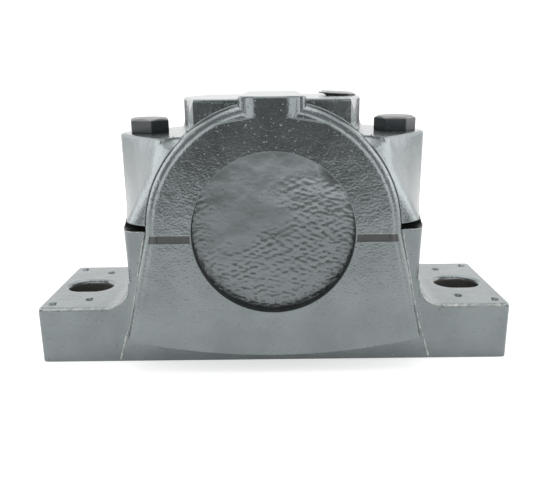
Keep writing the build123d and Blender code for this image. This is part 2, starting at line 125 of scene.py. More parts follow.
class Graph:
    """The nodes of one material or of the world."""

    def __init__(self, tree):
        self.tree = tree
        tree.nodes.clear()

    def node(self, kind, settings=None, sockets=None, output=0):
        """Adds a node, sets its own settings, then fills its sockets with values or wires."""
        made = self.tree.nodes.new(kind)
        for key, value in (settings or {}).items():
            setattr(made, key, value)
        for key, value in (sockets or {}).items():
            if isinstance(value, Wire):
                self.tree.links.new(value.socket, made.inputs[key])
            else:
                made.inputs[key].default_value = value
        return Wire(self, made.outputs[output]) if made.outputs else None

    def place(self, stretch=(1.0, 1.0, 1.0)):
        """Object coordinates in millimetres, each axis stretched by its own factor."""
        metres = self.node("ShaderNodeTexCoord", output=3)
        scale = tuple(1000.0 * factor for factor in stretch)
        return self.node("ShaderNodeVectorMath", {"operation": "MULTIPLY"}, {0: metres, 1: scale})

    def axes(self, place):
        """The x, y and z of a place or a direction."""
        split = self.node("ShaderNodeSeparateXYZ", {}, {0: place}).socket.node
        return [Wire(self, split.outputs[n]) for n in range(3)]

    def grain(self, place, size, detail=2.0, roughness=0.5):
        """Noise from 0 to 1 whose lumps are about this many millimetres across."""
        sockets = {"Vector": place, "Scale": 1.0 / size, "Detail": detail, "Roughness": roughness}
        return self.node("ShaderNodeTexNoise", {}, sockets)

    def cells(self, place, size):
        """Distance, in cells, from points scattered about this many millimetres apart."""
        return self.node("ShaderNodeTexVoronoi", {}, {"Vector": place, "Scale": 1.0 / size})

    def rays(self):
        """Whether the camera, a reflection or clear glass looks along this ray."""
        ends = self.node("ShaderNodeLightPath").socket.node.outputs
        kinds = ("Is Camera Ray", "Is Glossy Ray", "Is Transmission Ray")
        return [Wire(self, ends[kind]) for kind in kinds]

    def mix(self, share, first, second):
        """Mixes two colours, each a wire or a plain (red, green, blue)."""
        first, second = (c if isinstance(c, Wire) else (*c, 1.0) for c in (first, second))
        sockets = {0: share, 6: first, 7: second}
        return self.node("ShaderNodeMix", {"data_type": "RGBA"}, sockets, output=2)

    def layers(self, colour, *coats):
        """A colour with others laid over it in turn, each given as its share and itself."""
        for share, coat in coats:
            colour = self.mix(share, colour, coat)
        return colour

    def bump(self, height, depth, under=None):
        """A normal bent by a height from 0 to 1 that stands for this many millimetres."""
        sockets = {"Height": height, "Distance": depth * MM, "Strength": 1.0}
        if under is not None:
            sockets["Normal"] = under
        return self.node("ShaderNodeBump", {}, sockets)


def finish(name, recipe, **constants):
    """A material whose shader takes these constants and what the recipe varies over the surface."""
    material = bpy.data.materials.new(name)
    material.use_nodes = True
    graph = Graph(material.node_tree)
    constants = {key.replace("_", " "): value for key, value in constants.items()}
    shader = graph.node("ShaderNodeBsdfPrincipled", {}, {**constants, **recipe(graph)})
    graph.node("ShaderNodeOutputMaterial", {}, {"Surface": shader})
    return material


# ---------------------------------------------------------------- colours, linear red, green, blue

WHITE = (1.0, 1.0, 1.0, 1.0)
STAGE_WHITE, STAGE_DARK = (0.8, 0.8, 0.8), (0.05, 0.05, 0.05)
PAINT_GREY, PAINT_PALE = (0.222, 0.25, 0.256), (0.26, 0.291, 0.298)
PAINT_DUST = (0.34, 0.35, 0.342)
# The first colour on the next line is painted shade for the cover's lower part.
COVER_PAINTED_SHADE, COVER_PALE = (0.165, 0.185, 0.189), (0.37, 0.412, 0.42)
# Both colours on the next line are painted shade for the cover's turned-up edge.
EDGE_SHADE_DARK, EDGE_SHADE_PALE = (0.01, 0.011, 0.012), (0.028, 0.03, 0.031)
# The second colour on the next line is partly wear and partly a painted highlight along the raised
# edges.
FLASH_GREY, FLASH_PALE_AND_HIGHLIGHT = (0.36, 0.39, 0.39), (0.64, 0.66, 0.63)
IRON_DARK, IRON_PALE = (0.34, 0.335, 0.33), (0.46, 0.455, 0.45)
JOINT_BROWN, JOINT_PALE = (0.062, 0.06, 0.056), (0.62, 0.63, 0.6)
# The first colour on the next line is painted shade for the opening's wall and the pry notches; the
# second is painted shade with a rusty tint for the foot slots.
RECESS_SHADE_BLACK, SLOT_SHADE_AND_RUST = (0.012, 0.013, 0.014), (0.11, 0.104, 0.092)
SCREW_BLACK, SCREW_GREY = (0.042, 0.047, 0.052), (0.075, 0.082, 0.088)
# On the next line, the first colour is painted light on the heads' outer faces; the second is wear
# and also a painted glint on the heads' tops.
SCREW_LIT, SCREW_RUBBED_AND_GLINT = (0.11, 0.12, 0.125), (0.3, 0.3, 0.295)
GROUND_STEEL = (0.52, 0.52, 0.525), (0.66, 0.655, 0.65)
TURNED_STEEL = (0.3, 0.295, 0.29), (0.44, 0.435, 0.43)
CAGE_BRASS = (0.5, 0.33, 0.11), (0.68, 0.49, 0.2)
RUBBER_BLACK, RUBBER_DUST = (0.014, 0.014, 0.015), (0.07, 0.068, 0.065)
# The third colour on the next line is a painted highlight on the plug's top.
PLUG_DARK, PLUG_MIST, PLUG_TOP_HIGHLIGHT = (0.14, 0.147, 0.15), (0.3, 0.31, 0.31), (0.72, 0.73, 0.72)


# ---------------------------------------------------------------- finishes


def painted(graph, place, skin, soft=0.0):
    """Colour and gloss of the grey paint over a skin: cloudy, with dull dusty spots.

    soft is added to the roughness everywhere.
    """
    cloud = graph.grain(place, 14.0)
    dusty = graph.grain(place, 2.2, detail=4.0, roughness=0.65).rise(0.58, 0.8)
    clouded = graph.mix(cloud.rise(0.3, 0.7), PAINT_GREY, PAINT_PALE)
    return {
        "Base Color": graph.mix(dusty * 0.3, clouded, PAINT_DUST),
        "Roughness": 0.2 + cloud * 0.06 + dusty * 0.12 + soft,
        "Normal": skin,
    }


# Where each mask of the housing starts or ends and where it is full, as x, y, z or distance from
# the shaft line. A row of four rises from the first to the second and falls from the third.
BORE_REACH, BORE_Y = (45.5, 45.6), (-39.6, -39.4, 43.6, 43.75)
# The wall of the front opening, the pry notches and the foot slots are where shade is painted in.
WALL_REACH, WALL_Y = (33.3, 33.5), (-43.5, -43.1, -38.0, -37.6)
NOTCH_X, NOTCH_Y, NOTCH_Z = (54.1, 54.25), (24.4, 24.5), (59.9, 59.98, 63.33, 63.36)
SLOT_X, SLOT_Y, SLOT_Z = (77.0, 77.4, 97.2, 97.6), (7.62, 7.7), (23.9, 24.4)
STRIP_Z, LIP_UP, LIP_HALF = (56.7, 56.9, 59.9, 60.0), 0.05, (0.1, 0.32)
JOINT_HALF, UNDERSIDE_Z = (0.04, 0.05), (0.02, 0.06)
NOSE_FRONT_Y, PAD_FRONT_Y = (-43.2, -43.0), (-43.5, -43.3)
PAD_FLAT_HALF = (5.4, 10.6)
CALM_Z = (74.0, 96.0)


def casting_areas(graph, place):
    """Masks over the housing: bare iron, painted shade in recesses and foot slots, the joint's
    strip and its lip.

    Bare iron is the bore, the joint's faces and the underside. The recesses are the wall of the
    front opening and the four pry notches, and they get near-black painted shade; the foot slots
    get painted shade with a rusty tint. The strip is the brown band under the joint on the nose's
    front, and the lip is the pale line along its top.
    """
    x, y, z = graph.axes(place)
    up = z - CENTRE_Z
    across = graph.node("ShaderNodeCombineXYZ", {}, {0: x, 2: up})
    reach = graph.node("ShaderNodeVectorMath", {"operation": "LENGTH"}, {0: across}, output=1)
    front = y.fall(*NOSE_FRONT_Y)
    bore = reach.fall(*BORE_REACH) * y.within(*BORE_Y)
    wall = reach.fall(*WALL_REACH) * y.within(*WALL_Y)
    notch = z.within(*NOTCH_Z) * abs(x).rise(*NOTCH_X) * abs(y).rise(*NOTCH_Y)
    slot_shade = abs(y).fall(*SLOT_Y) * abs(x).within(*SLOT_X) * z.fall(*SLOT_Z)
    strip = front * z.within(*STRIP_Z)
    lip = front * abs(up - LIP_UP).fall(*LIP_HALF)
    machined_faces = bore.most(abs(up).fall(*JOINT_HALF)).most(z.fall(*UNDERSIDE_Z))
    return machined_faces * (1.0 - notch), wall.most(notch), slot_shade, strip, lip


def casting_skin(graph, place, tool, bare, strip, lip):
    """The housing's skin: sand lumps, pebbles, nibs and specks under paint, tool marks on iron.

    The lumps are calmer on the cap's upper half. A slow swell lies over everything. The front of
    the pad is flat in the middle and bent back towards its two corners; the bend widens out of
    sight below the pad's foot.
    """
    x, y, z = graph.axes(place)
    lumps = graph.grain(graph.place((0.8, 1.0, 1.15)), 1.0) * (1.0 - z.rise(*CALM_Z) * 0.5)
    pebbles = graph.grain(place, 0.5, detail=1.0)
    nibs = graph.cells(place, 4.2).fall(0.0, 0.1)
    specks = graph.cells(place, 1.6).fall(0.0, 0.22) * graph.grain(place, 2.0).rise(0.45, 0.6)
    rough = lumps + pebbles * 0.2 + nibs * 1.3 + specks * 1.5 + lip * 0.8
    fine = rough * (1.0 - bare) * (1.0 - strip * 0.85) + tool * bare * 0.12

    below_pad = (PAD_FRONT_Z - z).most(0.0) * 6.0
    behind = y.rise(*PAD_FRONT_Y)
    flat = (abs(x - PAD_FRONT_X) - below_pad).fall(*PAD_FLAT_HALF)
    pad = flat * (1.0 - behind) + behind
    swell = graph.grain(place, 5.5)
    return graph.bump(swell, 0.25, graph.bump(pad, 0.8, graph.bump(fine, 0.15)))


def casting_paint(graph):
    """Glossy grey paint over sand-cast iron, with bare machined faces and painted shade in recesses
    and slots.
    """
    place = graph.place()
    bare, recess_shade, slot_shade, strip, lip = casting_areas(graph, place)
    tool = graph.grain(graph.place((1.0, 14.0, 1.0)), 1.4)
    coat = painted(graph, place, casting_skin(graph, place, tool, bare, strip, lip))
    patchy = 0.35 + graph.grain(place, 2.5).rise(0.5, 0.7) * 0.6
    colour = graph.layers(
        coat["Base Color"],
        (strip * 0.85, JOINT_BROWN),
        (lip * patchy, JOINT_PALE),
        # painted shade: near black in the opening's wall and the pry notches, dark and rusty in the
        # foot slots
        (recess_shade, RECESS_SHADE_BLACK),
        (slot_shade * 0.85, SLOT_SHADE_AND_RUST),
        (bare, graph.mix(tool, IRON_DARK, IRON_PALE)),
    )
    return {
        **coat,
        "Base Color": colour,
        "Metallic": (0.86 + bare * 0.14) * (1.0 - recess_shade.most(slot_shade) * 0.65),
        "Roughness": coat["Roughness"] + bare * 0.04 + strip * 0.1 + recess_shade * 0.25,
        "Coat Weight": (1.0 - bare) * (1.0 - recess_shade) * 0.3,
    }


def cover_edge_shade(graph):
    """Near-black paint on the cover's turned-up edge: painted shade for the dark gap behind the
    lip.
    """
    grain = graph.grain(graph.place(), 1.2, detail=3.0)
    return {
        "Base Color": graph.mix(grain, EDGE_SHADE_DARK, EDGE_SHADE_PALE),
        "Roughness": 0.42 + grain * 0.15,
        "Normal": graph.bump(grain, 0.05),
    }


def flash_paint(graph):
    """Paint drawn thin over raised seams and lips, pale in places: partly wear, partly a painted
    highlight on the edges.
    """
    worn_and_highlit = graph.grain(graph.place(), 2.0, detail=3.0)
    return {
        # the pale patches are partly wear and partly a painted highlight
        "Base Color": graph.mix(worn_and_highlit.rise(0.35, 0.65), FLASH_GREY, FLASH_PALE_AND_HIGHLIGHT),
        "Roughness": 0.28 + worn_and_highlit * 0.15,
        "Normal": graph.bump(worn_and_highlit, 0.1),
    }


def cover_enamel(graph):
    """The housing's paint where it has pooled on the pressed cover: satin and nearly smooth.

    It is pale, with faint patches of the housing's grey, and darkened low down by painted shade.
    """
    place = graph.place()
    x, _, z = graph.axes(place)
    skin = graph.bump(graph.grain(place, 0.8), 0.03)
    coat = painted(graph, place, graph.bump(graph.grain(place, 6.0), 0.2, skin), soft=0.05)
    patches = graph.grain(place, 7.0).rise(0.5, 0.7)
    # painted shade: darker low down and towards the left
    low = (z + x * 0.25).fall(62.0, 92.0)
    colour = graph.mix(patches * 0.3, COVER_PALE, coat["Base Color"])
    return {
        **coat,
        "Base Color": graph.mix(low * 0.75, colour, COVER_PAINTED_SHADE),
        "Metallic": 0.86 + graph.grain(place, 9.0) * 0.02,
    }


# From the middle of each head, the corner where its outer faces end; these faces get painted light.
LEFT_CORNER, RIGHT_CORNER = (2.2, 2.4), (3.3, 3.5)
# Where the painted glint on the screw heads and the painted highlight on the plug's top begin.
HEAD_TOP_Z, PLUG_TOP_Z = (102.0, 102.7), (115.0, 115.3)  # the second as if the plug stood level


def cap_screw_steel(graph):
    """Blackened forged steel with worn spots; painted light on the heads' outer faces, a painted
    glint on top.
    """
    place = graph.place()
    x, _, z = graph.axes(place)
    scale = graph.grain(place, 1.1, detail=4.0, roughness=0.6)
    # painted light on each head's outer faces
    painted_lit_faces = (x + SCREW_X).fall(*LEFT_CORNER).most((x - SCREW_X).rise(*RIGHT_CORNER))
    # a painted glint round the top of each head, and worn spots of scale
    rubbed_and_glint = z.rise(*HEAD_TOP_Z).most(scale.rise(0.62, 0.8) * 0.7)
    black = graph.mix(graph.grain(place, 5.0), SCREW_BLACK, SCREW_GREY)
    return {
        "Base Color": graph.layers(black, (painted_lit_faces * 0.7, SCREW_LIT), (rubbed_and_glint, SCREW_RUBBED_AND_GLINT)),
        "Roughness": 0.3 + scale * 0.22,
        "Normal": graph.bump(scale, 0.06),
    }


def machined(stretch, width, stain, detail, shades, roughness, depth):
    """The recipe of a machined metal, with marks of this width that run round the shaft line.

    The marks are noise stretched by this factor along the shaft line. The metal is stained
    between two shades in patches of the stain's size and detail. roughness is its least value and
    what the marks add to it, and depth is how deep the marks are.
    """

    def recipe(graph):
        marks = graph.grain(graph.place((1.0, stretch, 1.0)), width, detail=3.0)
        stains = graph.grain(graph.place(), stain, detail=detail)
        return {
            "Base Color": graph.mix(stains, *shades),
            "Roughness": roughness[0] + marks * roughness[1],
            "Normal": graph.bump(marks, depth),
        }

    return recipe


def seal_rubber(graph):
    """Matt black nitrile rubber with a moulded skin and a trace of dust."""
    place = graph.place()
    skin = graph.grain(place, 0.5, detail=3.0)
    dust = graph.grain(place, 4.0, detail=3.0).rise(0.5, 0.85)
    return {
        "Base Color": graph.mix(dust * 0.3, RUBBER_BLACK, RUBBER_DUST),
        "Roughness": 0.52 + skin * 0.2,
        "Normal": graph.bump(skin, 0.04),
    }


def plug_grey(graph):
    """Grey moulded plastic under a thin, uneven mist of the housing's paint, with a painted
    highlight on its top.
    """
    place = graph.place()
    x, _, z = graph.axes(place)
    mist = graph.grain(place, 1.2, detail=3.0)
    misted = graph.mix(mist.rise(0.35, 0.7), PLUG_DARK, PLUG_MIST)
    # painted highlight on the plug's top
    top = (z + x * PLUG_TILT).rise(*PLUG_TOP_Z)
    return {
        "Base Color": graph.mix(top * 0.8, misted, PLUG_TOP_HIGHLIGHT),
        "Roughness": 0.3 + mist * 0.2,
        "Normal": graph.bump(mist, 0.05),
    }


ground_steel = machined(
    stretch=10.0, width=0.9, stain=9.0, detail=2.0,
    shades=GROUND_STEEL, roughness=(0.14, 0.14), depth=0.01,
)
turned_steel = machined(
    stretch=7.0, width=1.1, stain=6.0, detail=3.0,
    shades=TURNED_STEEL, roughness=(0.26, 0.18), depth=0.03,
)
cage_brass = machined(
    stretch=6.0, width=1.0, stain=5.0, detail=2.0,
    shades=CAGE_BRASS, roughness=(0.24, 0.16), depth=0.03,
)

PAINT = finish("casting_paint", casting_paint, Coat_Roughness=0.1)
ENAMEL = finish("cover_enamel", cover_enamel, Coat_Weight=0.2, Coat_Roughness=0.15)
EDGE_SHADE = finish("cover_edge_shade", cover_edge_shade, Metallic=0.1)
FLASH = finish("flash_paint", flash_paint, Metallic=0.35)
SCREW = finish("cap_screw_steel", cap_screw_steel, Metallic=0.55)
GROUND = finish("ground_steel", ground_steel, Metallic=1.0)
TURNED = finish("turned_steel", turned_steel, Metallic=1.0)
BRASS = finish("cage_brass", cage_brass, Metallic=1.0)
RUBBER = finish("seal_rubber", seal_rubber)
PLUG = finish("plug_grey", plug_grey)

FINISHES = {
    PAINT: ["housing_base", "housing_cap", "end_cover"],
    SCREW: ["cap_bolt_left", "cap_bolt_right"],
    GROUND: ["bearing_outer_ring", "bearing_inner_ring", "ball_row_front", "ball_row_rear"],
    TURNED: [
        "adapter_sleeve", "lock_washer", "lock_nut", "locating_ring_front", "locating_ring_rear",
        "dowel_pin_left", "dowel_pin_right",
    ],
    BRASS: ["bearing_cage"],
    RUBBER: ["seal_upper_half", "seal_lower_half", "end_cover_ring"],
    PLUG: ["lubrication_plug"],
}
for material, nodes in FINISHES.items():
    for node in nodes:
        for material_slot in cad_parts[node].material_slots:
            material_slot.material = material


# ---------------------------------------------------------------- surfaces

BEAD_TAPER = 0.02  # share of a bead's length over which its end thins out


def linked(name, data):
    """A new object in the scene for this mesh, lamp or camera."""
    made = bpy.data.objects.new(name, data)
    bpy.context.scene.collection.objects.link(made)
    return made


def surface(name, points, body, material,
            round_u=False, round_v=False, closed=False, stands_for=()):
    """A piece from a grid of points (rows u, columns v) in millimetres, four-sided between them.

    round_u and round_v join the last row or column to the first; closed fills the first and the
    last row.
    """
    rows, columns = points.shape[:2]
    number = np.arange(rows * columns).reshape(rows, columns)
    if round_u:
        number = np.vstack([number, number[:1]])
    if round_v:
        number = np.hstack([number, number[:, :1]])
    around = [number[:-1, :-1], number[:-1, 1:], number[1:, 1:], number[1:, :-1]]
    faces = np.stack(around, axis=-1).reshape(-1, 4).tolist()
    if closed:
        faces += [number[0, :columns][::-1].tolist(), number[-1, :columns].tolist()]
    mesh = bpy.data.meshes.new(name)
    mesh.from_pydata((points.reshape(-1, 3) * MM).tolist(), [], faces)
    mesh.polygons.foreach_set("use_smooth", np.ones(len(mesh.polygons), bool))
    mesh.materials.append(material)
    piece = linked(name, mesh)
    if stands_for:
        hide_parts(*stands_for)
    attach(piece, body)
    return piece


def thicken(piece, thickness):
    """Gives a sheet this thickness in millimetres."""
    wall = piece.modifiers.new("thickness", "SOLIDIFY")
    wall.thickness = thickness * MM


def angles(count):
    """This many even steps round a full turn, in radians."""
    return np.linspace(0, 2 * np.pi, count, endpoint=False)


def round_shaft(reach, y, count):
    """A profile of reach and y carried round the shaft line in this many steps."""
    turn = angles(count)[:, None]
    points = [reach * np.sin(turn), y + 0 * turn, CENTRE_Z + reach * np.cos(turn)]
    return np.stack(points, axis=-1)


def waves(points, size, seed, count=24):
    """Smooth uneven height, about -1 to 1.

    It is a sum of plane sine waves with random headings and lengths near size.
    """
    rng = np.random.default_rng(seed)
    heading = rng.normal(size=(count, 3))
    heading /= np.linalg.norm(heading, axis=1, keepdims=True)
    pitch = 2 * np.pi / (size * rng.uniform(0.6, 1.6, count))
    phase = rng.uniform(0, 2 * np.pi, count)
    flat = points.reshape(-1, 3)
    total = np.zeros(len(flat))
    for way, k, start in zip(heading, pitch, phase):
        total += np.sin(flat @ way * k + start)
    return (total / np.sqrt(count)).reshape(points.shape[:-1])


def smooth(value, low, high):
    """0 below low, 1 above high, and an even S between."""
    t = np.clip((value - low) / (high - low), 0, 1)
    return t * t * (3 - 2 * t)


def along(corners, step):
    """Points every step millimetres on the smooth curve that passes near these corners.

    The corners are joined by straight runs, resampled evenly and averaged with their neighbours.
    """
    corners = np.asarray(corners, float)
    run = np.r_[0, np.cumsum(np.linalg.norm(np.diff(corners, axis=0), axis=1))]
    where = np.linspace(0, run[-1], max(4, int(run[-1] / step)))
    path = np.stack([np.interp(where, run, corners[:, n]) for n in range(3)], axis=1)
    for _ in range(12):
        path[1:-1] = 0.25 * path[:-2] + 0.5 * path[1:-1] + 0.25 * path[2:]
    return path


def bead(name, path, width, height, outward, seed, waver=0.25):
    """A raised line of cast flash or thick paint on the base: an ellipse carried along a path.

    Its half width and height swell and shrink by the waver, and its ends taper almost to nothing.
    """
    forward = np.gradient(path, axis=0)
    forward /= np.linalg.norm(forward, axis=1, keepdims=True)
    side = np.cross(forward, outward)
    side /= np.linalg.norm(side, axis=1, keepdims=True)
    out = np.cross(side, forward)
    swell = 1 + waver * waves(path, 3.0, seed)
    share = np.linspace(0, 1, len(path))
    swell *= np.sqrt(np.clip(np.minimum(share, 1 - share) / BEAD_TAPER, 0.05, 1))
    turn = angles(12)[:, None]
    rim = side[:, None] * (np.cos(turn) * width) + out[:, None] * (np.sin(turn) * height)
    points = path[:, None] + rim * swell[:, None, None]
    surface(name, points, "base", FLASH, round_v=True, closed=True)


# ---------------------------------------------------------------- cap with tight roots

TIGHT_ROOT = 1.0
SLACK = 0.05
MERGE_DISTANCE = 4e-6  # metres
SHARP_ANGLE = 20  # degrees


def tight_roots(points):
    """Draws the hollow roots of the noses in to a small radius.

    Each point of a root moves towards the line where the nose meets the body, in the same
    proportion. Under the pad it moves straight down, so that the pad's sides stay upright.
    """
    x, y, z = points.T
    up = z - CENTRE_Z
    out, back = np.hypot(x, up) - NOSE_RADIUS, np.abs(y) - BODY_DEPTH
    root = (np.minimum(out, back) > -SLACK) & (np.maximum(out, back) < ROOT_RADIUS + SLACK)
    share = np.where(root, TIGHT_ROOT / ROOT_RADIUS, 1.0)
    reach = NOSE_RADIUS + out * share
    aside = root & (np.abs(x) >= PAD_HALF)
    across = np.where(aside, x * reach / (NOSE_RADIUS + out), x)
    height = np.where(root, np.sqrt(np.maximum(reach**2 - across**2, 0)), up)
    return np.stack([across, np.sign(y) * (BODY_DEPTH + back * share), CENTRE_Z + height], axis=1)


def reshaped(node, body, rule):
    """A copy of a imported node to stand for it, its points moved by a rule and then merged."""
    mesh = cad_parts[node].data.copy()
    mesh.name = f"{node}_cast"
    points = np.empty(3 * len(mesh.vertices))
    mesh.vertices.foreach_get("co", points)
    mesh.vertices.foreach_set("co", (rule(points.reshape(-1, 3) / MM) * MM).ravel())
    shape = bmesh.new()
    shape.from_mesh(mesh)
    bmesh.ops.remove_doubles(shape, verts=shape.verts, dist=MERGE_DISTANCE)
    bmesh.ops.dissolve_degenerate(shape, edges=shape.edges, dist=MERGE_DISTANCE)
    shape.to_mesh(mesh)
    shape.free()
    if "custom_normal" in mesh.attributes:
        mesh.attributes.remove(mesh.attributes["custom_normal"])
    mesh.shade_smooth()
    mesh.set_sharp_from_angle(angle=math.radians(SHARP_ANGLE))
    mesh.materials.clear()
    mesh.materials.append(PAINT)
    piece = linked(mesh.name, mesh)
    even = piece.modifiers.new("even_normals", "WEIGHTED_NORMAL")
    even.keep_sharp = True
    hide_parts(node)
    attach(piece, body)


reshaped("housing_cap", "cap", tight_roots)


# ---------------------------------------------------------------- webs between lugs and nose

WEB_THICKNESS = 0.4
WEB_FOOT_Z, WEB_RISE, WEB_TOP_SLOPE = 63.4, 33.1, 1.6
WEB_BACK, WEB_AHEAD = 4.0, 1.6  # how far the web runs behind and before the body's front face
WEB_EDGE_RADIUS, WEB_EDGE_Y = 51.15, -40.4  # just inside the nose's rounded edge
WEB_SINK_Z = (93.0, 97.8)
LUG_ZERO_Z = 64.0  # the next two are polynomials of the height above this, highest power first
LUG_FACE = (0.00125, -0.517, 59.1)  # x of the lug's face at the body's front
LUG_LEAN = (0.0157, 0.24)  # what that x gains for each step back


def lug_web(side):
    """The cast web that carries a lug's slanting face on to the nose, from its foot up.

    At each height it is a parabola in plan from the lug's face, along that face, to the nose's
    rounded edge; near the top it sinks back to the front of the block. The lug's face is a
    parabola of height, and it slants more in plan the higher it goes.
    """
    step, share = np.meshgrid(np.linspace(0, 1, 90), np.linspace(0, 1, 24), indexing="ij")
    height = WEB_FOOT_Z + step * (WEB_RISE + WEB_TOP_SLOPE * share)
    face_x = np.polyval(LUG_FACE, height - LUG_ZERO_Z)
    lean = np.polyval(LUG_LEAN, height - LUG_ZERO_Z)
    sunk = smooth(height, *WEB_SINK_Z)
    start = (face_x + lean * WEB_BACK - 0.25, WEB_BACK - BODY_DEPTH)
    middle = (face_x - lean * WEB_AHEAD * (1 - sunk), 1.9 * sunk - WEB_AHEAD - BODY_DEPTH)
    end = (np.sqrt(WEB_EDGE_RADIUS**2 - (height - CENTRE_Z) ** 2), WEB_EDGE_Y + 5.0 * sunk)
    x, y = (
        first * (1 - share) ** 2 + 2 * second * share * (1 - share) + third * share**2
        for first, second, third in zip(start, middle, end)
    )
    web = np.stack([side * x, y, height], axis=-1)
    return web if side > 0 else web[:, ::-1]


for name, side in SIDES:
    piece = surface(f"lug_web_{name}", lug_web(side), "cap", PAINT)
    thicken(piece, WEB_THICKNESS)


# ---------------------------------------------------------------- seams and flash on the base

BELLY_RADIUS, BELLY_LOW, BELLY_HALF = 266.2, 8.4, 56.5
NOSE_FOOT_X, NOSE_FOOT_Z = 61.5, 15.6  # where the nose's side meets the belly
SEAM_OFFSET = 1.15  # from the corner of the root to the middle of its hollow
FLASH_BACK, FLASH_UP = 0.48, 0.25  # of the belly's flash from the nose's front and lower edge


def root_line(side):
    """The mould seam's path down one side of the base, in the hollow beside the nose.

    The nose's side runs straight out from the joint to the belly's corner, and the front leans
    back over the foot; below the corner the seam slants out down the foot's front.
    """
    height = np.linspace(59.0, 17.0, 30)
    drop = (CENTRE_Z - height) / (CENTRE_Z - NOSE_FOOT_Z)
    nose_side = NOSE_RADIUS + (NOSE_FOOT_X - NOSE_RADIUS) * drop
    above_foot = np.clip((height - FOOT_TOP) / (CENTRE_Z - FOOT_TOP), 0, 1)
    front = FOOT_Y - (BODY_DEPTH + FOOT_Y) * above_foot
    root = np.stack([side * (nose_side + SEAM_OFFSET), front - SEAM_OFFSET, height], axis=1)
    foot = [(side * x, FOOT_Y, z) for x, z in ((64.4, 12.5), (66.2, 6.5), (68.0, 0.6))]
    return along(np.vstack([root, foot]), step=0.6)


def belly_line():
    """The path of the flash along the belly's arc, on the front edge of the nose."""
    x = np.linspace(-BELLY_HALF, BELLY_HALF, 240)
    z = BELLY_LOW + BELLY_RADIUS - np.sqrt(BELLY_RADIUS**2 - x**2)
    return np.stack([x, np.full_like(x, NOSE_Y + FLASH_BACK), z + FLASH_UP], axis=1)


for seed, (name, side) in enumerate(SIDES, start=3):
    outward = np.array((0.6 * side, -0.8, 0.0))
    bead(f"mould_seam_{name}", root_line(side), width=0.42, height=0.4, outward=outward, seed=seed)
bead("belly_flash", belly_line(), width=0.32, height=0.28, outward=FORWARD, seed=5, waver=0.3)


# ---------------------------------------------------------------- lips of paint on the base's edges

BLEND_X, BLEND_Z, BLEND_RADIUS = 72.3, 35.0, 10.4  # the quarter circle from foot to body
FOOT_LIP = ((101.0, -29.9), (99.6, FOOT_Y), (90.0, FOOT_Y), (74.0, FOOT_Y))
FOOT_LIP_Z = 24.55
NOTCH_LIP = (
    (54.5, -35.6), (56.0, -35.6), (58.6, -35.5), (60.3, -34.4), (61.9, -31.2), (63.4, -24.6),
)
NOTCH_LIP_Z = 59.8


def foot_lip(side):
    """The lip along a foot's front top edge and round the quarter circle up the body."""
    straight = [(side * x, y, FOOT_LIP_Z) for x, y in FOOT_LIP]
    turn = np.radians(np.linspace(0, 72, 16))
    x = BLEND_X - BLEND_RADIUS * np.sin(turn)
    z = BLEND_Z - BLEND_RADIUS * np.cos(turn)
    curve = np.stack([side * x, np.full_like(turn, FOOT_Y), z], axis=1)
    return along(np.vstack([straight, curve]), step=0.6)


def notch_lip(side):
    """The lip along the lower edge of a pry notch, from its inner corner to the lug's side."""
    return along([(side * x, y, NOTCH_LIP_Z) for x, y in NOTCH_LIP], step=0.3)


for seed, (name, side) in enumerate(SIDES, start=21):
    bead(f"foot_lip_{name}", foot_lip(side), width=0.4, height=0.22, outward=FORWARD, seed=seed,
         waver=0.35)
    bead(f"notch_lip_{name}", notch_lip(side), width=0.22, height=0.2, outward=FORWARD,
         seed=seed + 2)


# ---------------------------------------------------------------- pressed end cover

COVER_Y = COVER_LOW[1] + 3.3  # where its paint's relief starts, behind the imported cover's front
COVER_THICKNESS = 0.9
COVER_RADIUS = OPENING_RADIUS + 0.3
DISH_RADIUS = 700.0
FLAT_X, FLAT_UP, FLAT_RADIUS = 25.0, 27.0, 8.6

# The section of the cover's turned-up edge, grooved for the rubber ring: reach and y.
COVER_EDGE = np.array([
    (33.15, -39.3), (33.35, -39.45), (36.4, -39.45), (36.55, -39.3), (36.55, -38.05),
    (35.3, -38.05), (35.3, -35.95), (36.55, -35.95), (36.55, -34.9), (33.1, -34.9), (33.1, -36.6),
])


def cover_relief(x, up):
    """Height of the cover's paint in millimetres at x and at up above the shaft line.

    A shallow dish that rises to the rim, flattened inside a circle at its upper right, with low
    sags; wrinkled below a slanting line, along the left edge and in the right half up to 20 mm.
    """
    spot = np.stack([x, np.zeros_like(x), up], axis=-1)
    dish = np.hypot(x, up) ** 2 / (2 * DISH_RADIUS)
    flat = 0.12 * np.clip(FLAT_RADIUS - np.hypot(x - FLAT_X, up - FLAT_UP), 0, None)
    below = smooth(-(up - 0.35 * x + 1.5 - 3.0 * waves(spot, 14.0, 11)), -6.0, 8.0)
    left = smooth(-(x + 25.0 - 2.0 * waves(spot, 8.0, 12)), -2.0, 5.0)
    right = smooth(x - 2.0 - 2.0 * waves(spot, 9.0, 18), -3.0, 9.0) * smooth(20.0 - up, -6.0, 4.0)
    rough = np.maximum(np.maximum(below, 0.55 * left), 0.8 * right)
    drawn = spot * np.array((0.6, 1.0, 1.0)) + spot[..., 2:] * np.array((0.25, 0.0, 0.0))
    creases = waves(drawn, 1.5, 13) + 0.6 * np.abs(waves(drawn, 2.8, 14))
    wrinkles = rough * (0.062 * creases + 0.02 * waves(spot, 1.1, 17))
    return 0.3 + dish - flat + 0.05 * waves(spot, 13.0, 15) + wrinkles


def cover_points():
    """A square grid drawn out to a disc, raised by the relief."""
    ticks = np.linspace(-1, 1, 210)
    u, v = np.meshgrid(ticks, ticks, indexing="ij")
    x = COVER_RADIUS * u * np.sqrt(1 - v**2 / 2)
    up = COVER_RADIUS * v * np.sqrt(1 - u**2 / 2)
    return np.stack([x, COVER_Y - cover_relief(x, up), CENTRE_Z + up], axis=-1)


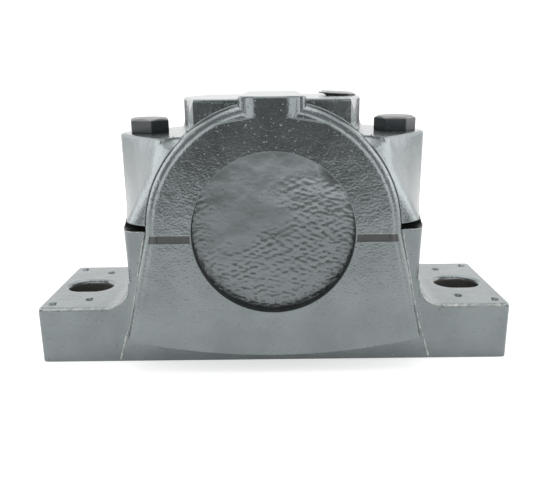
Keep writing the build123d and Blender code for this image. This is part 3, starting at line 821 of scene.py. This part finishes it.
cover = surface("cover_face", cover_points(), "base", ENAMEL,
                stands_for=["end_cover"])
thicken(cover, COVER_THICKNESS)
# the turned-up edge's near-black colour is painted shade
surface("cover_edge", round_shaft(*COVER_EDGE.T, count=240), "base", EDGE_SHADE,
        round_u=True, round_v=True)


# ---------------------------------------------------------------- rounded rim of the front opening

RIM_RADIUS, RIM_OUT, RIM_BACK = 0.35, 0.12, 0.36


def rim_points():
    """A small circle carried round the shaft line, just behind the nose's front."""
    roll = angles(12)
    reach = OPENING_RADIUS + RIM_OUT + RIM_RADIUS * np.cos(roll)
    return round_shaft(reach, NOSE_Y + RIM_BACK + RIM_RADIUS * np.sin(roll), count=360)


surface("opening_rim", rim_points(), "base", ENAMEL, round_u=True, round_v=True)


# ---------------------------------------------------------------- cap screws

HEAD_LOW, HEAD_HIGH = 97.0, 103.4
FLATS = 16.0  # across the head
FACE_RADIUS = FLATS / 2 * 0.92  # the flat top of the head
SHANK_RADIUS, THREAD_RADIUS = 4.95, 4.93
SCREW_TIP = 37.0
THREAD_PITCH = 1.5
THREAD_DEPTH = 0.85
THREAD_TOP = 63.0
SCREW_TURNS = (44.4, 51.6)  # degrees, left and right

# The dished top of the head: shares of its radius, and how far each lies below the highest part.
HEAD_TOP = ((0.001, 0.16), (0.5, 0.16), (0.8, 0.14), (0.84, 0.0), (0.97, 0.0), (1.0, 0.03))


def screw_points(x, turn):
    """Points of a hexagon-head screw at x, its head turned by this many degrees, from head to tip.

    The head's radius at an angle is the hexagon's, its top is cut by a 30 degree cone and dished
    in the middle, and the shank's radius falls by a rounded zigzag that climbs one pitch in each
    turn.
    """
    angle = angles(144)
    to_flat = (angle - np.radians(turn)) % (np.pi / 3) - np.pi / 6
    hexagon = FLATS / 2 / np.cos(to_flat)
    cone = (hexagon - FACE_RADIUS) * np.tan(np.radians(30))
    rings = [(FACE_RADIUS * share, HEAD_HIGH - dip) for share, dip in HEAD_TOP]
    rings += [
        (hexagon * 0.985, HEAD_HIGH - cone * 0.95),
        (hexagon, HEAD_HIGH - cone - 0.25),
        (hexagon, HEAD_LOW + 3.0),
        (hexagon, HEAD_LOW + 0.3),
        (hexagon * 0.985, HEAD_LOW + 0.02),
        (FACE_RADIUS * 0.99, HEAD_LOW),
    ]
    rings += [(SHANK_RADIUS, z) for z in (HEAD_LOW - 0.05, 90.0, 80.0, 70.0, THREAD_TOP)]
    for z in np.arange(THREAD_TOP - 0.2, SCREW_TIP + 1.2, -THREAD_PITCH / 8):
        phase = (z / THREAD_PITCH - angle / (2 * np.pi)) % 1.0
        groove = np.clip(1.2 - np.abs(phase - 0.5) * 2.6, 0, 0.95) * smooth(THREAD_TOP - z, 0, 1.5)
        rings.append((THREAD_RADIUS - THREAD_DEPTH * groove, z))
    rings += [(4.1, SCREW_TIP + 0.7), (3.6, SCREW_TIP), (0.01, SCREW_TIP)]
    reach = np.array([radius + 0 * angle for radius, _ in rings])
    height = np.array([z + 0 * angle for _, z in rings])
    return np.stack([x + reach * np.cos(angle), reach * np.sin(angle), height], axis=-1)


for (name, side), turn in zip(SIDES, SCREW_TURNS):
    surface(f"cap_screw_{name}", screw_points(side * SCREW_X, turn)[::-1], f"bolt_{name}", SCREW,
            round_v=True, stands_for=[f"cap_bolt_{name}"])


# ---------------------------------------------------------------- grease plug

# Half a section of the plug: reach from the stem's line and height above the stem's foot.
PLUG_PROFILE = np.array([
    (0.01, 0.0), (4.2, 0.0), (4.65, 0.5), (4.65, 9.0), (5.6, 9.3), (6.6, 9.62), (7.9, 9.6),
    (8.15, 9.75), (8.15, 10.1), (7.9, 10.2), (7.2, 10.24), (7.05, 10.3), (7.0, 10.7),
    (6.8, 10.84), (6.1, 10.86), (5.8, 10.7), (5.6, 10.3), (3.0, 10.25), (0.01, 10.25),
])


def plug_points():
    """Points of a mushroom plug, from its stem's foot to the middle of its dished top.

    The profile is turned round the stem's line; above the stem each height also falls by the tilt
    times the distance to the right.
    """
    middle = (PLUG_LOW + PLUG_HIGH) / 2
    turn = angles(96)
    reach, lift = PLUG_PROFILE[:, :1], PLUG_PROFILE[:, 1:]
    x = reach * np.cos(turn)
    z = PLUG_LOW[2] + lift - PLUG_TILT * x * smooth(lift, 9.0, 9.6)
    return np.stack([middle[0] + x, middle[1] + reach * np.sin(turn), z], axis=-1)


surface("grease_plug", plug_points(), "plug", PLUG, round_v=True,
        stands_for=["lubrication_plug"])


# ---------------------------------------------------------------- floor and surroundings

FLOOR_NEAR, FLOOR_FAR, FLOOR_HALF = -0.37, 6.0, 6.0  # metres


def stage_white(graph):
    """Plain diffuse white, with a little light of its own where camera or reflection sees it.

    Reflections find it dark in a wedge straight behind the part.
    """
    seen, glossy, through = graph.rays()
    x, y, _ = graph.axes(graph.place())
    behind = glossy * y.rise(90.0, 220.0) * (abs(x) - y * 0.5).fall(-60.0, 30.0)
    return {
        "Base Color": graph.mix(behind, STAGE_WHITE, STAGE_DARK),
        "Emission Strength": seen.most(through) * 0.6 + glossy * (1.0 - behind) * 0.25,
    }


def white_floor():
    """A white sheet under the part that ends just behind the camera."""
    mesh = bpy.data.meshes.new("floor")
    corners = [(-FLOOR_HALF, FLOOR_NEAR, 0), (FLOOR_HALF, FLOOR_NEAR, 0),
               (FLOOR_HALF, FLOOR_FAR, 0), (-FLOOR_HALF, FLOOR_FAR, 0)]
    mesh.from_pydata(corners, [], [(0, 1, 2, 3)])
    mesh.materials.append(finish("stage_white", stage_white, Roughness=0.9, Emission_Color=WHITE))
    sheet = linked("floor", mesh)


def studio_world():
    """White all round for the camera; for reflections a grey tent that only they see.

    The tent is bright at both sides of the camera and behind the part, and dark at a doorway
    where the camera stands.
    """
    world = bpy.data.worlds.new("studio")
    bpy.context.scene.world = world
    world.use_nodes = True
    sky = Graph(world.node_tree)
    _, north, _ = sky.axes(sky.node("ShaderNodeTexCoord", output=0))
    seen, glossy, through = sky.rays()
    towards_camera = 0.0 - north
    doorway = towards_camera.rise(0.9, 0.965)
    walls = towards_camera.rise(0.6, 0.78)
    back = towards_camera.fall(-0.3, 0.1)
    tent = (0.32 + walls * 1.4 + back * 0.85) * (1.0 - doorway * 0.95)
    white = 0.75 + seen.most(through) * 0.25
    mirrored, plain = (
        sky.node("ShaderNodeBackground", {}, {"Color": WHITE, "Strength": strength})
        for strength in (tent, white)
    )
    air = sky.node("ShaderNodeMixShader", {}, {0: glossy, 1: plain, 2: mirrored})
    sky.node("ShaderNodeOutputWorld", {}, {"Surface": air})


white_floor()
studio_world()


# ---------------------------------------------------------------- lamps and camera, in metres

MIDDLE = np.array((0.0, 0.0, 0.06))
PITCH, YAW, ROLL = 0.274, -0.003, -0.010  # radians: looking down, to the right, tilted
CAMERA_PLACE = (-0.000141, -0.279919, 0.120265)
FOCAL_LENGTH, SENSOR_WIDTH = 40.33, 36.0  # millimetres
NEAREST_SEEN = 0.01
NEARLY_UPRIGHT = 0.99  # a lamp this steep is squared to the X axis


def facing(right, up, back, place):
    """The matrix of an object at a place whose own axes point right, up and back."""
    turn = Matrix((right, up, back)).transposed().to_4x4()
    turn.translation = place
    return turn


def softbox(name, place, width, strength):
    """A square lamp that faces the middle; strength is its brightness as a surface."""
    lamp = bpy.data.lights.new(name, "AREA")
    lamp.shape = "SQUARE"
    lamp.size = width
    lamp.energy = strength * width * width * math.pi
    back = (np.array(place) - MIDDLE) / np.linalg.norm(np.array(place) - MIDDLE)
    overhead = abs(back[2]) > NEARLY_UPRIGHT
    right = np.array((1.0, 0, 0)) if overhead else np.cross((0, 0, 1.0), back)
    right /= np.linalg.norm(right)
    linked(name, lamp).matrix_world = facing(right, np.cross(back, right), back, place)


def front_camera():
    """The camera before the closed end, turned by yaw, then pitch, then roll."""
    right = np.array((math.cos(YAW), math.sin(YAW), 0.0))
    level = np.array((-math.sin(YAW), math.cos(YAW), 0.0))
    ahead = level * math.cos(PITCH) - np.array((0, 0, math.sin(PITCH)))
    over = np.array((0, 0, math.cos(PITCH))) + level * math.sin(PITCH)
    across = right * math.cos(ROLL) + over * math.sin(ROLL)
    upright = over * math.cos(ROLL) - right * math.sin(ROLL)
    lens = bpy.data.cameras.new("camera")
    lens.lens, lens.sensor_width, lens.clip_start = FOCAL_LENGTH, SENSOR_WIDTH, NEAREST_SEEN
    camera = linked("camera", lens)
    camera.matrix_world = facing(across, upright, -ahead, CAMERA_PLACE)
    return camera


softbox("overhead_box", (0.0, 0.1, 0.9), width=0.7, strength=1.2)
softbox("left_box", (-0.85, 0.1, 0.35), width=0.6, strength=1.25)
softbox("right_box", (0.85, 0.1, 0.35), width=0.6, strength=1.25)

bpy.context.scene.camera = front_camera()
bpy.context.scene.view_settings.view_transform = "Standard"
